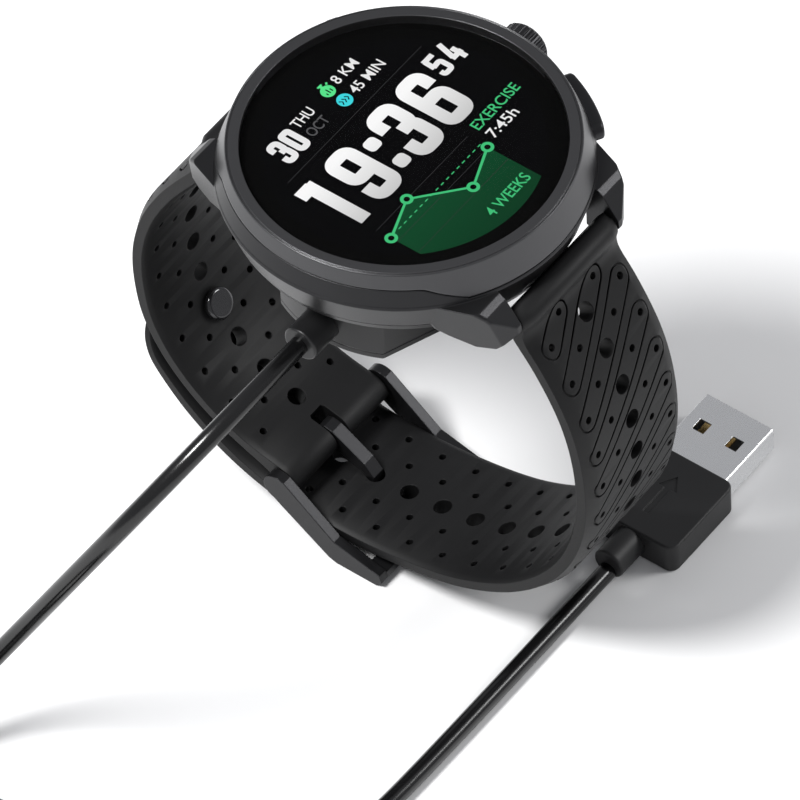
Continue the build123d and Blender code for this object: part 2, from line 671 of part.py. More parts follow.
def main_board():
    board = disc(19.8, -5.2, -6.0)
    board -= box_between((13.6, -3, -8), (30, 3, -2))
    for angle in (BUTTON_ANGLE, -BUTTON_ANGLE):
        board -= radial(angle, box_between((17.0, -3, -9), (30, 3, -2)))
    return board


def board_parts():
    """Processor can, flash can and crystal on the main board."""
    return Compound(children=[box_between((-9, -8, -5.15), (3, 4, -4.0)),
                              box_between((5, -9, -5.15), (11, -3, -4.1)),
                              box_between((-4, 7, -5.15), (2, 10, -4.3))])


def battery():
    cell = box_between((-13.5, -11, -9.9), (10.5, 11, -6.3))
    return fillet(cell.edges().filter_by(Axis.Z), 2.0)


def vibration_motor():
    return disc(3.4, -6.3, -9.3, -3.0, -15.4)


def main():
    save("bezel_ring", bezel_ring())
    save("display_glass", display_glass())
    save("glass_gasket", ring(GLASS_R, 21.9, -1.46, -1.59))
    save("display_panel", disc(20.9, -1.5, -2.5))
    save("display_carrier", disc(21.6, -2.6, -3.15))
    save("antenna_ring", antenna_ring())
    save("case_middle", case_middle())
    save("screw_bosses", screw_bosses())
    save("back_gasket", ring(22.9, CAVITY_R + 0.2, -CASE_BOTTOM - 0.01, -CASE_BOTTOM - SEAM + 0.01))
    save("case_back", case_back())
    save("back_screws", back_screws())
    save("sensor_window", fillet(disc(SENSOR_R, -12.35, -BACK_BOSS - 0.15).edges().group_by(Axis.Z)[0], 0.1))
    save("sensor_board", sensor_board())
    save("charge_contacts", charge_contacts())
    save("main_board", main_board())
    save("board_parts", board_parts())
    save("battery", battery())
    save("vibration_motor", vibration_motor())

    save("crown_knob", crown_knob())
    save("crown_stem", crown_stem())
    save("crown_plunger", crown_plunger())
    save("crown_tube", crown_tube())
    save("crown_switch", crown_switch())
    for name, angle in (("upper", BUTTON_ANGLE), ("lower", -BUTTON_ANGLE)):
        save(f"{name}_button", side_button(angle))
        save(f"{name}_button_seal", button_seal(angle))
        save(f"{name}_button_switch", button_switch(angle))

    save("strap_upper", strap_upper())
    save("strap_lower", strap_lower())
    save("strap_stud", strap_stud())
    save("upper_spring_bar", spring_bar(1))
    save("lower_spring_bar", spring_bar(-1))
    save("buckle_frame", buckle_frame())
    save("buckle_tongue", buckle_tongue())
    save("buckle_bar", buckle_bar())

    save("dock_housing", dock_housing())
    save("dock_lid", dock_lid())
    save("dock_magnets", dock_magnets())
    save("dock_pin_block", dock_pin_block())
    save("dock_pins", dock_pins())
    save("dock_board", dock_board())
    save("cable_boot", cable_boot())

    save("lead_dock_run", lead_tube(LEAD_DOCK, "dock run"))
    save("lead_plug_run", lead_tube(LEAD_PLUG, "plug run"))
    save("lead_coil", lead_coil())
    save("plug_relief", plug_relief())
    save("plug_overmold", plug_overmold())
    save("plug_shell", plug_shell())
    save("plug_insulator", plug_insulator())
    save("plug_contacts", plug_contacts())


main()
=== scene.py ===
"""GPS running watch on its charging dock: materials, dial, strap, lead and studio around the CAD frame."""
import json
import math

import bmesh
import bpy
from mathutils import Matrix, Vector


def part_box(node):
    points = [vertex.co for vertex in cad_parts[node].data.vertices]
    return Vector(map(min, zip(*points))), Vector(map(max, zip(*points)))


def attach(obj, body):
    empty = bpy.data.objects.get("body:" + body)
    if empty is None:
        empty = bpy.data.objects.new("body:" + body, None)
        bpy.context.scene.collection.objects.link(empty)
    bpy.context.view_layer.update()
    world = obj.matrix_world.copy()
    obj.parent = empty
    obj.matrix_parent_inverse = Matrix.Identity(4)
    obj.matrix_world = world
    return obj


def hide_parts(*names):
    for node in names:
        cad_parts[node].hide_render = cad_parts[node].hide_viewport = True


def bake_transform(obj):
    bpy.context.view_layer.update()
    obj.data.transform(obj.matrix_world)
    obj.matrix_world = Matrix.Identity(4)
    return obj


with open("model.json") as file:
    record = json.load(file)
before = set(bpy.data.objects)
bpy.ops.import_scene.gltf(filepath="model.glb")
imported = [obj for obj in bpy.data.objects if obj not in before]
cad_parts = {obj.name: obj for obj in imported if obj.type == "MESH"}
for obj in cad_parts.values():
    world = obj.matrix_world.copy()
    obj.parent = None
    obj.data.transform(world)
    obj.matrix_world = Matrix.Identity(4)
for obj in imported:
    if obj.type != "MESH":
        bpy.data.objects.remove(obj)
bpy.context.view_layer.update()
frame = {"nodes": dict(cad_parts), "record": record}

MM = 0.001
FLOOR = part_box("buckle_frame")[0].z / MM
PANEL_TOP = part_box("display_panel")[1].z / MM
GLASS_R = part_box("display_glass")[1].x / MM
CABLE_R = 1.4
WATCH = "watch"


# ---- camera -----------------------------------------------------------------------------
LENS_MM = 450
SENSOR_MM = 36
CAMERA_AIM = Vector((-18.64, -11.80, -30.0))     # the point at the middle of the picture
CAMERA_AWAY = 1393.6
CAMERA_AZIMUTH = -140.42                         # degrees from +X round to the camera
CAMERA_ELEVATION = 50.12
CAMERA_ROLL = -3.54


def add_camera():
    """A long lens from in front of and to the left of the watch, looking down on the display."""
    turn = (Matrix.Rotation(math.radians(CAMERA_AZIMUTH + 90), 4, "Z")
            @ Matrix.Rotation(math.radians(90 - CAMERA_ELEVATION), 4, "X")
            @ Matrix.Rotation(math.radians(CAMERA_ROLL), 4, "Z"))
    place = CAMERA_AIM + turn @ Vector((0, 0, CAMERA_AWAY))
    data = bpy.data.cameras.new("camera")
    data.lens = LENS_MM
    data.sensor_width = SENSOR_MM
    data.clip_end = 20
    camera = bpy.data.objects.new("camera", data)
    camera.matrix_world = Matrix.Translation(place * MM) @ turn
    bpy.context.scene.collection.objects.link(camera)
    bpy.context.scene.camera = camera


# ---- node helpers -----------------------------------------------------------------------
BLOTCH_CELLS = 260           # cells per metre of the slow colour change
GLOSS_CHANGE = 0.05          # how far roughness strays each way
RELIEF_STRENGTH = 0.35
COAT_ROUGH = 0.12


def new_material(name):
    """A node material, its tree and its main shader."""
    material = bpy.data.materials.new(name)
    material.use_nodes = True
    tree = material.node_tree
    return material, tree, tree.nodes["Principled BSDF"]


def noise(tree, scale, detail=3.0, stretch=(1, 1, 1)):
    """Noise fixed to the object; scale is in cells per metre."""
    where = tree.nodes.new("ShaderNodeTexCoord")
    mapping = tree.nodes.new("ShaderNodeMapping")
    mapping.inputs["Scale"].default_value = stretch
    texture = tree.nodes.new("ShaderNodeTexNoise")
    texture.inputs["Scale"].default_value = scale
    texture.inputs["Detail"].default_value = detail
    tree.links.new(where.outputs["Object"], mapping.inputs["Vector"])
    tree.links.new(mapping.outputs["Vector"], texture.inputs["Vector"])
    return texture.outputs["Fac"]


def spread(tree, value, low, high):
    """Maps noise, which mostly runs from 0.3 to 0.7, to low to high."""
    node = tree.nodes.new("ShaderNodeMapRange")
    node.inputs["From Min"].default_value = 0.3
    node.inputs["From Max"].default_value = 0.7
    node.inputs["To Min"].default_value = low
    node.inputs["To Max"].default_value = high
    tree.links.new(value, node.inputs["Value"])
    return node.outputs["Result"]


def tint(tree, value, dark, light):
    """Colour between dark and light by a value."""
    mix = tree.nodes.new("ShaderNodeMix")
    mix.data_type = "RGBA"
    mix.inputs["A"].default_value = (*dark, 1)
    mix.inputs["B"].default_value = (*light, 1)
    tree.links.new(value, mix.inputs["Factor"])
    return mix.outputs["Result"]


def surface(name, colour, rough, metal=0.0, vary=0.12, grain=9000, bump=0.02, soft_edge=0.0,
            stretch=(1, 1, 1), specular=0.5, coat=0.0):
    """A finish with mottled colour, uneven gloss, fine grain and, if asked, eased edges.

    bump and soft_edge are in millimetres, grain in cells per metre.
    """
    material, tree, bsdf = new_material(name)
    blotch = noise(tree, BLOTCH_CELLS, 4)
    dark = [c * (1 - vary) for c in colour]
    light = [c * (1 + vary) for c in colour]
    tree.links.new(tint(tree, blotch, dark, light), bsdf.inputs["Base Color"])
    fine = noise(tree, grain, 2, stretch)
    tree.links.new(spread(tree, fine, rough - GLOSS_CHANGE, rough + GLOSS_CHANGE), bsdf.inputs["Roughness"])
    bsdf.inputs["Metallic"].default_value = metal
    bsdf.inputs["Specular IOR Level"].default_value = specular
    bsdf.inputs["Coat Weight"].default_value = coat
    bsdf.inputs["Coat Roughness"].default_value = COAT_ROUGH
    relief = tree.nodes.new("ShaderNodeBump")
    relief.inputs["Strength"].default_value = RELIEF_STRENGTH
    relief.inputs["Distance"].default_value = bump * MM
    tree.links.new(fine, relief.inputs["Height"])
    if soft_edge:
        eased = tree.nodes.new("ShaderNodeBevel")
        eased.samples = 6
        eased.inputs["Radius"].default_value = soft_edge * MM
        tree.links.new(eased.outputs["Normal"], relief.inputs["Normal"])
    tree.links.new(relief.outputs["Normal"], bsdf.inputs["Normal"])
    return material


def clear_glass():
    """Coated watch glass: clear, with only a faint reflection."""
    material = bpy.data.materials.new("cover_glass")
    material.use_nodes = True
    tree = material.node_tree
    tree.nodes.remove(tree.nodes["Principled BSDF"])
    clear = tree.nodes.new("ShaderNodeBsdfTransparent")
    gloss = tree.nodes.new("ShaderNodeBsdfGlossy")
    gloss.inputs["Roughness"].default_value = 0.03
    fresnel = tree.nodes.new("ShaderNodeFresnel")
    fresnel.inputs["IOR"].default_value = 1.06
    mix = tree.nodes.new("ShaderNodeMixShader")
    tree.links.new(fresnel.outputs["Fac"], mix.inputs["Fac"])
    tree.links.new(clear.outputs["BSDF"], mix.inputs[1])
    tree.links.new(gloss.outputs["BSDF"], mix.inputs[2])
    tree.links.new(mix.outputs["Shader"], tree.nodes["Material Output"].inputs["Surface"])
    return material


def lit(name, top, bottom, y_top, y_bottom, strength=1.0):
    """A glowing display colour that grades between two heights of the dial."""
    material, tree, bsdf = new_material(name)
    where = tree.nodes.new("ShaderNodeTexCoord")
    split = tree.nodes.new("ShaderNodeSeparateXYZ")
    grade = tree.nodes.new("ShaderNodeMapRange")
    grade.inputs["From Min"].default_value = y_bottom * MM
    grade.inputs["From Max"].default_value = y_top * MM
    tree.links.new(where.outputs["Object"], split.inputs["Vector"])
    tree.links.new(split.outputs["Y"], grade.inputs["Value"])
    bsdf.inputs["Base Color"].default_value = (0, 0, 0, 1)
    bsdf.inputs["Specular IOR Level"].default_value = 0
    tree.links.new(tint(tree, grade.outputs["Result"], bottom, top), bsdf.inputs["Emission Color"])
    bsdf.inputs["Emission Strength"].default_value = strength
    return material


# ---- finishes ---------------------------------------------------------------------------
FINISH = {
    "bezel_metal": surface("bezel_metal", (0.085, 0.085, 0.088), 0.34, metal=0.92, vary=0.04, grain=14000,
                           bump=0.008, soft_edge=0.22),
    "case_polymer": surface("case_polymer", (0.03, 0.03, 0.0315), 0.33, metal=0.85, vary=0.06, grain=12000,
                            bump=0.01, soft_edge=0.25),
    "seal_rubber": surface("seal_rubber", (0.0012, 0.0012, 0.0012), 0.6, specular=0.02),
    "frame_steel": surface("frame_steel", (0.5, 0.5, 0.51), 0.32, metal=1, stretch=(1, 12, 12), grain=3000),
    "board_laminate": surface("board_laminate", (0.02, 0.12, 0.05), 0.4, vary=0.3),
    "component_can": surface("component_can", (0.6, 0.6, 0.6), 0.35, metal=1, vary=0.05),
    "battery_foil": surface("battery_foil", (0.55, 0.55, 0.57), 0.4, metal=0.9, vary=0.08),
    "contact_gold": surface("contact_gold", (0.83, 0.58, 0.24), 0.25, metal=1, vary=0.06, bump=0.004),
    "sensor_resin": surface("sensor_resin", (0.006, 0.006, 0.008), 0.12, vary=0.2, bump=0.002, coat=0.5),
    "crown_metal": surface("crown_metal", (0.03, 0.03, 0.032), 0.36, metal=0.8, vary=0.06, bump=0.006,
                           soft_edge=0.12),
    "strap_silicone": surface("strap_silicone", (0.0055, 0.0055, 0.0058), 0.5, vary=0.14, grain=16000,
                              bump=0.02, soft_edge=0.18, specular=0.22),
    "buckle_metal": surface("buckle_metal", (0.022, 0.022, 0.0235), 0.34, metal=0.75, vary=0.08, bump=0.006,
                            soft_edge=0.22),
    "dock_plastic": surface("dock_plastic", (0.01, 0.01, 0.0105), 0.36, vary=0.12, grain=12000, bump=0.01,
                            soft_edge=0.25, specular=0.35),
    "magnet_nickel": surface("magnet_nickel", (0.65, 0.64, 0.62), 0.2, metal=1, vary=0.05, bump=0.004),
    "lead_jacket": surface("lead_jacket", (0.004, 0.004, 0.0042), 0.2, vary=0.2, grain=6000, bump=0.006),
    "plug_plastic": surface("plug_plastic", (0.014, 0.014, 0.0145), 0.48, vary=0.12, grain=14000, bump=0.03,
                            soft_edge=0.25, specular=0.4),
    "plug_shell_metal": surface("plug_shell_metal", (0.86, 0.865, 0.87), 0.28, metal=1, vary=0.03,
                                grain=2500, stretch=(1, 14, 14), bump=0.003, soft_edge=0.1),
    "plug_core": surface("plug_core", (0.012, 0.012, 0.012), 0.5),
    "display_layer": surface("display_layer", (0.001, 0.001, 0.0012), 0.4, vary=0.3, bump=0.001,
                             specular=0.03),
    "cover_glass": clear_glass(),
}


def paint(piece, material):
    """Puts one material on all of a piece's slots."""
    if not piece.material_slots:
        piece.data.materials.append(material)
    for slot in piece.material_slots:
        slot.material = material


def paint_cad():
    """Gives each CAD node its finish; the stud and the bars get their own."""
    for part in frame["record"]["subparts"]:
        paint(frame["nodes"][part["node"]], FINISH[part["material_slot"]])
    polished = surface("stud_metal", (0.03, 0.03, 0.032), 0.14, metal=0.6, vary=0.1, bump=0.003, coat=0.6)
    paint(frame["nodes"]["strap_stud"], polished)
    shaded = surface("bar_metal", (0.05, 0.05, 0.052), 0.35, metal=0.9, stretch=(12, 1, 1), grain=3000)
    for bar in ("upper_spring_bar", "lower_spring_bar", "buckle_bar"):
        paint(frame["nodes"][bar], shaded)


# ---- mesh helpers -----------------------------------------------------------------------
def piece_from(name, points, faces, material):
    """A mesh piece from points in millimetres."""
    mesh = bpy.data.meshes.new(name)
    mesh.from_pydata([Vector(p) * MM for p in points], [], faces)
    mesh.validate()
    piece = bpy.data.objects.new(name, mesh)
    bpy.context.scene.collection.objects.link(piece)
    mesh.materials.append(material)
    return piece


def ease_normals(piece, sharp_angle=30):
    """Faces outwards, smooth shading, and crisp lines where faces meet at more than an angle."""
    work = bmesh.new()
    work.from_mesh(piece.data)
    bmesh.ops.recalc_face_normals(work, faces=work.faces)
    for face in work.faces:
        face.smooth = True
    for edge in work.edges:
        edge.smooth = len(edge.link_faces) == 2 and edge.calc_face_angle(0) < math.radians(sharp_angle)
    work.to_mesh(piece.data)
    work.free()


def drop(piece):
    """Deletes a piece and its mesh."""
    mesh = piece.data
    bpy.data.objects.remove(piece)
    bpy.data.meshes.remove(mesh)


# ---- strap ------------------------------------------------------------------------------
STRAP_T = 3.0
HALF_W = 11.0
EDGE_OUT = (1.9, 0.9)        # width and depth of the outer bevel along both edges
EDGE_IN = (0.8, 0.5)
HOLE_R = 1.4
PORE_R = 0.56                # small perforations
HOLE_PITCH = 6.1
PORE_X = 4.0                 # half the sideways distance between rows of perforations
GROOVE_R = 1.8               # half the width of a groove's long outline
GROOVE_W = 0.32
GROOVE_DEPTH = 0.35
HOLE_SIDES = 28
PORE_SIDES = 12
ARC_STEPS = 8                # in each round end of a groove
CUT_LOW, CUT_HIGH = -4, 9    # heights that are clear of the flat strap, below and above
ROW_STEP = 1.2               # length of one row of strap faces
FINE_STEP = 0.5              # the same near both ends
LUG_ZONE = 4                 # length of the fine rows at the lug
TIP_L = 8                    # length of the fine rows at the other end, and of a rounded tip
TIP_SHARE = 0.45             # width of the tip's end, as a share of the strap's
LUG_ROWS = (0, 0.05, 0.2, 0.45, 0.8)
TIP_ROWS = (1.7, 1.2, 0.8, 0.5, 0.25, 0.1, 0.0)
HOLES_FROM = 4.2             # where the pattern of holes starts and ends along each strap piece
UPPER_HOLES_TO = 71.0
LOWER_HOLES_TO = 128.0
PORE_MARGIN = 2.6            # how much further out the perforations may go than the holes
GROOVE_MARGIN = 1
LINE_STEPS = 96              # short runs between two points of a strap line
FOLD_ANGLE = 34              # degrees above which two strap faces meet in a crisp line
WRIST = Vector((0.0, -48.0))  # middle of the wrist space, as (y, z)
# Inner lines of the strap pieces in the Y-Z plane, from the lug.
UPPER_IN = [(24.9, -13.4), (29.8, -19.6), (34.6, -26.6), (38.2, -33.9), (40.1, -41.0), (40.3, -48.7),
            (39.3, -54.8), (36.9, -60.1), (33.4, -64.6), (29.0, -68.3), (24.1, -71.0), (18.5, -73.2)]
LOWER_IN = [(-24.9, -13.4), (-29.6, -20.0), (-33.6, -28.2), (-35.6, -38.5), (-34.9, -50.5),
            (-31.0, -60.6), (-23.8, -69.3), (-14.0, -75.4), (-2.5, -78.5), (9.0, -79.5), (18.5, -78.5),
            (26.5, -75.4), (33.2, -70.5), (38.3, -65.0), (41.1, -60.8), (42.4, -57.5)]
FIRST_UPPER_HOLE = (40.3, -42.4)
TONGUE_HOLE = (9.02, -79.4)
# Side outline of the strap at a lug, as (length from the curve's start, height of the side).
LUG_INNER = [(-3.1, 3.4), (-2.9, 2.4), (-2.2, 1.4), (-1.2, 0.75), (0.2, 0.3), (2.0, 0.05), (4.0, 0.0)]
LUG_OUTER = [(-3.1, 3.45), (-2.9, 4.3), (-2.1, 5.15), (-1.0, 5.45), (0.2, 5.0), (1.2, 3.95), (2.4, 3.3),
             (4.0, 3.03)]
# The same at the buckle, from the curve's end.
LOOP_INNER = [(-6.0, 0.0), (-2.5, -0.3), (0.6, -0.72), (2.3, -0.86), (3.6, -0.4), (4.4, 0.5), (4.62, 1.4)]
LOOP_OUTER = [(-6.0, 3.0), (-2.5, 3.15), (0.6, 3.55), (2.3, 3.78), (3.6, 3.3), (4.4, 2.4), (4.62, 1.5)]
TAIL_THIN = [(-16.0, 3.0), (-9.0, 2.5), (-3.6, 2.0), (0.0, 1.3)]


def smooth_through(points, steps=12):
    """Points of a smooth curve through the given ones."""
    pts = [Vector(p) for p in points]
    dist = [(b - a).length for a, b in zip(pts, pts[1:])]
    slopes = []
    for i, p in enumerate(pts):
        if i == 0:
            slopes.append((pts[1] - p) / dist[0])
        elif i == len(pts) - 1:
            slopes.append((p - pts[-2]) / dist[-1])
        else:
            before = (p - pts[i - 1]) / dist[i - 1]
            after = (pts[i + 1] - p) / dist[i]
            slopes.append((before * dist[i] + after * dist[i - 1]) / (dist[i] + dist[i - 1]))
    out = []
    for i, d in enumerate(dist):
        for k in range(steps):
            t = k / steps
            h00, h10 = 2 * t**3 - 3 * t**2 + 1, t**3 - 2 * t**2 + t
            h01, h11 = 3 * t**2 - 2 * t**3, t**3 - t**2
            out.append(h00 * pts[i] + h10 * d * slopes[i] + h01 * pts[i + 1] + h11 * d * slopes[i + 1])
    return out + [pts[-1]]


def lookup(table, at):
    """Straight interpolation in a list of (place, value)."""
    if at <= table[0][0]:
        return table[0][1]
    for (a, va), (b, vb) in zip(table, table[1:]):
        if at <= b:
            return va + (vb - va) * (at - a) / (b - a) if b > a else vb
    return table[-1][1]


class StrapLine:
    """The inner line of a strap piece in the Y-Z plane, measured by length from the lug."""

    def __init__(self, points):
        self.pts = smooth_through(points, LINE_STEPS)
        self.at = [0.0]
        for a, b in zip(self.pts, self.pts[1:]):
            self.at.append(self.at[-1] + (b - a).length)
        self.length = self.at[-1]
        self.away = []
        for i, p in enumerate(self.pts):
            along = self.pts[min(i + 1, len(self.pts) - 1)] - self.pts[max(i - 1, 0)]
            across = Vector((along.y, -along.x)).normalized()
            self.away.append(across if across.dot(p - WRIST) > 0 else -across)

    def place(self, x, s, t):
        """The 3-D point that is x across, s along and t out from the inner line."""
        last = len(self.pts) - 1
        if s <= 0:
            i, beyond = 0, s
        elif s >= self.length:
            i, beyond = last - 1, s - self.at[last - 1]
        else:
            low, high = 0, last
            while high - low > 1:
                mid = (low + high) // 2
                low, high = (mid, high) if self.at[mid] <= s else (low, mid)
            i, beyond = low, s - self.at[low]
        along = (self.pts[i + 1] - self.pts[i]).normalized()
        share = min(max(beyond / (self.at[i + 1] - self.at[i]), 0), 1)
        away = self.away[i].lerp(self.away[i + 1], share).normalized()
        p = self.pts[i] + along * beyond + away * t
        return (x, p.x, p.y)

    def nearest(self, y, z):
        """The length at which the line passes nearest to a place."""
        i = min(range(len(self.pts)), key=lambda k: (self.pts[k] - Vector((y, z))).length)
        return self.at[i]


def shift(table, by):
    """The table with all its places moved along."""
    return [(a + by, v) for a, v in table]


def flat_strap(line, tail):
    """The strap piece laid out flat: x across, y along, z out. tail is 'loop' or 'free'."""
    inner = [tuple(p) for p in smooth_through(LUG_INNER, 4)]
    outer = [tuple(p) for p in smooth_through(LUG_OUTER, 4)]
    start, end = LUG_INNER[0][0], line.length
    if tail == "loop":
        inner += shift([tuple(p) for p in smooth_through(LOOP_INNER, 5)], line.length)
        outer += shift([tuple(p) for p in smooth_through(LOOP_OUTER, 5)], line.length)
        end = line.length + LOOP_INNER[-1][0]
    else:
        inner.append((line.length, 0.0))
        outer += shift(TAIL_THIN, line.length)
    places = [start + d for d in LUG_ROWS]
    while places[-1] < end - TIP_ROWS[0] - FINE_STEP:
        fine = places[-1] < LUG_ZONE or places[-1] > end - TIP_L
        places.append(places[-1] + (FINE_STEP if fine else ROW_STEP))
    places += [end - d for d in TIP_ROWS]
    rows = []
    for s in places:
        low, high = lookup(inner, s), lookup(outer, s)
        thin = min(1, (high - low) / STRAP_T)
        half = HALF_W
        if tail == "free" and s > end - TIP_L:
            along = (s - end + TIP_L) / (TIP_L + 0.05)
            half = HALF_W * (TIP_SHARE + (1 - TIP_SHARE) * math.sqrt(max(0, 1 - along**2)))
        wo, do = EDGE_OUT[0] * thin, EDGE_OUT[1] * thin
        wi, di = EDGE_IN[0] * thin, EDGE_IN[1] * thin
        side = [(half - wi, low), (half, low + di), (half, high - do), (half - wo, high)]
        rows.append([(x, s, t) for x, t in side] + [(-x, s, t) for x, t in reversed(side)])
    points = [p for row in rows for p in row]
    n = len(rows[0])
    faces = [tuple(range(n)), tuple((len(rows) - 1) * n + i for i in reversed(range(n)))]
    for r in range(len(rows) - 1):
        for i in range(n):
            j = (i + 1) % n
            faces.append((r * n + i, r * n + j, (r + 1) * n + j, (r + 1) * n + i))
    return points, faces


class Cutters:
    """Upright prisms gathered in one mesh, to be cut out of a flat strap."""

    def __init__(self):
        self.points, self.faces = [], []

    def prism(self, outline, low, high):
        """An upright prism of an outline."""
        n, base = len(outline), len(self.points)
        self.points += [(x, y, low) for x, y in outline] + [(x, y, high) for x, y in outline]
        self.faces.append(tuple(base + i for i in reversed(range(n))))
        self.faces.append(tuple(base + n + i for i in range(n)))
        for i in range(n):
            j = (i + 1) % n
            self.faces.append((base + i, base + j, base + n + j, base + n + i))

    def hole(self, x, s, r, sides):
        """A round hole right through the strap."""
        ring = [(x + r * math.cos(a), s + r * math.sin(a))
                for a in (2 * math.pi * (k + 0.5) / sides for k in range(sides))]
        self.prism(ring, CUT_LOW, CUT_HIGH)

    def groove(self, x0, s0, x1, s1, floor, roof):
        """A closed groove in the shape of a long round-ended outline between two points."""
        along = Vector((x1 - x0, s1 - s0)).normalized()
        across = Vector((-along.y, along.x))
        lines = []
        for r in (GROOVE_R, GROOVE_R - GROOVE_W):
            line = []
            for centre, turn in (((x1, s1), -90), ((x0, s0), 90)):
                for k in range(ARC_STEPS + 1):
                    a = math.radians(turn + k * 180 / ARC_STEPS)
                    p = Vector(centre) + along * (r * math.cos(a)) + across * (r * math.sin(a))
                    line.append((p.x, p.y))
            lines.append(line)
        n, base = len(lines[0]), len(self.points)
        for z in (floor, roof):
            for line in lines:
                self.points += [(x, y, z) for x, y in line]
        out_low, in_low, out_high, in_high = base, base + n, base + 2 * n, base + 3 * n
        for i in range(n):
            j = (i + 1) % n
            self.faces.append((out_low + i, out_low + j, out_high + j, out_high + i))
            self.faces.append((in_low + j, in_low + i, in_high + i, in_high + j))
            self.faces.append((out_low + j, out_low + i, in_low + i, in_low + j))
            self.faces.append((out_high + i, out_high + j, in_high + j, in_high + i))


def cut(piece, cutters):
    """Takes the cutters out of the piece."""
    tool = piece_from("strap_cutter", cutters.points, cutters.faces, FINISH["strap_silicone"])
    ease_normals(tool)
    boolean = piece.modifiers.new("cut", "BOOLEAN")
    boolean.operation = "DIFFERENCE"
    boolean.solver = "EXACT"
    boolean.use_self = False
    boolean.object = tool
    bpy.context.view_layer.update()
    shaped = bpy.data.meshes.new_from_object(piece.evaluated_get(bpy.context.evaluated_depsgraph_get()))
    piece.modifiers.clear()
    piece.data = shaped
    drop(tool)


def strap_piece(name, points_in, tail, hole_from, rows, low_limit, high_limit, slot=None):
    """One strap piece: flat body, holes, perforations and grooves, then bent to its line."""
    line = StrapLine(points_in)
    points, faces = flat_strap(line, tail)
    piece = piece_from(name, points, faces, FINISH["strap_silicone"])
    ease_normals(piece)
    tools = Cutters()
    start = line.nearest(*hole_from)
    for k in rows:
        s = start + k * HOLE_PITCH
        if low_limit <= s <= high_limit:
            tools.hole(0, s, HOLE_R, HOLE_SIDES)
        between = s - HOLE_PITCH / 2
        for x, at in ((2 * PORE_X, s), (-2 * PORE_X, s), (PORE_X, between), (-PORE_X, between)):
            if low_limit - PORE_MARGIN <= at <= high_limit:
                tools.hole(x, at, PORE_R, PORE_SIDES)
        spots = [(x, s - x / PORE_X * HOLE_PITCH / 2) for x in (2 * PORE_X, PORE_X, 0, -PORE_X, -2 * PORE_X)]
        spots = [p for p in spots if low_limit - PORE_MARGIN <= p[1] <= high_limit + GROOVE_MARGIN]
        if len(spots) > 1:
            tools.groove(*spots[0], *spots[-1], STRAP_T - GROOVE_DEPTH, CUT_HIGH)
    if slot:
        tools.prism(slot(line.length), CUT_LOW, CUT_HIGH)
    cut(piece, tools)
    for vertex in piece.data.vertices:
        x, s, t = vertex.co / MM
        vertex.co = Vector(line.place(x, s, t)) * MM
    ease_normals(piece, FOLD_ANGLE)
    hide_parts(name.replace("_skin", ""))
    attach(piece, WATCH)
    return piece


def tongue_slot(length):
    """Outline of the slot that the buckle's tongue turns in, open at the loop's end."""
    return [(-1.5, length - 0.9), (-1.2, length - 1.4), (1.2, length - 1.4), (1.5, length - 0.9),
            (1.5, length + 8), (-1.5, length + 8)]


def add_strap():
    """Both strap pieces; the ranges count holes from the given one, towards the lug and away."""
    strap_piece("strap_upper_skin", UPPER_IN, "loop", FIRST_UPPER_HOLE, range(-5, 7), HOLES_FROM,
                UPPER_HOLES_TO, tongue_slot)
    strap_piece("strap_lower_skin", LOWER_IN, "free", TONGUE_HOLE, range(-16, 7), HOLES_FROM,
                LOWER_HOLES_TO)


# ---- lead -------------------------------------------------------------------------------
BOOT_END_X = -25.4
BOOT_Z = -19.5
LEAD_Z = FLOOR + CABLE_R + 0.05
# From the boot to the floor, as (distance out from it, distance down); FALL_Y turns the second
# into a sideways distance too.
LEAD_FALL = [(0, 0), (12, 0), (24, 5), (32, 16), (36, 31), (38, 47), (43, 61), (54, 70), (68, 73.4)]
LEAD_DROP = 73.4
FALL_Y = 0.488
# Along the floor from the coil to the plug, as (x, y).
LEAD_PLUG = [(-86.0, -9.5), (-75.0, -15.5), (-64.0, -22.0), (-52.0, -26.0), (-38.0, -27.0), (7.65, -27.0)]
COIL_CENTRE = (-98.0, 14.2)
COIL_OUT, COIL_IN = 21.6, 11.6       # radius of the lead's centre line in the outer and inner turns
LAYER_TURNS = 3.5
PER_TURN = 16


def coil_points():
    """Two flat layers of turns: inwards on the floor, up at the middle and outwards on top."""
    pull = 1 / (0.75 + 0.25 * math.cos(2 * math.pi / PER_TURN))
    upper = LEAD_Z + 2 * CABLE_R
    steps = round(LAYER_TURNS * PER_TURN)
    climb = PER_TURN // 2
    spots = [(COIL_OUT + (COIL_IN - COIL_OUT) * i / steps, LEAD_Z) for i in range(steps)]
    spots += [(COIL_IN, LEAD_Z + (upper - LEAD_Z) * i / climb) for i in range(climb)]
    spots += [(COIL_IN + (COIL_OUT - COIL_IN) * i / steps, upper) for i in range(steps + 1)]
    out = []
    for i, (r, z) in enumerate(spots):
        a = math.pi / 2 + 2 * math.pi * i / PER_TURN
        out.append((COIL_CENTRE[0] + pull * r * math.cos(a), COIL_CENTRE[1] + pull * r * math.sin(a), z))
    return out


def lead_route():
    """The whole lead, from the dock's boot by way of the coil to the plug."""
    fall = [(BOOT_END_X - a, FALL_Y * b, BOOT_Z + (LEAD_Z - BOOT_Z) * b / LEAD_DROP) for a, b in LEAD_FALL]
    return fall + coil_points() + [(x, y, LEAD_Z) for x, y in LEAD_PLUG]


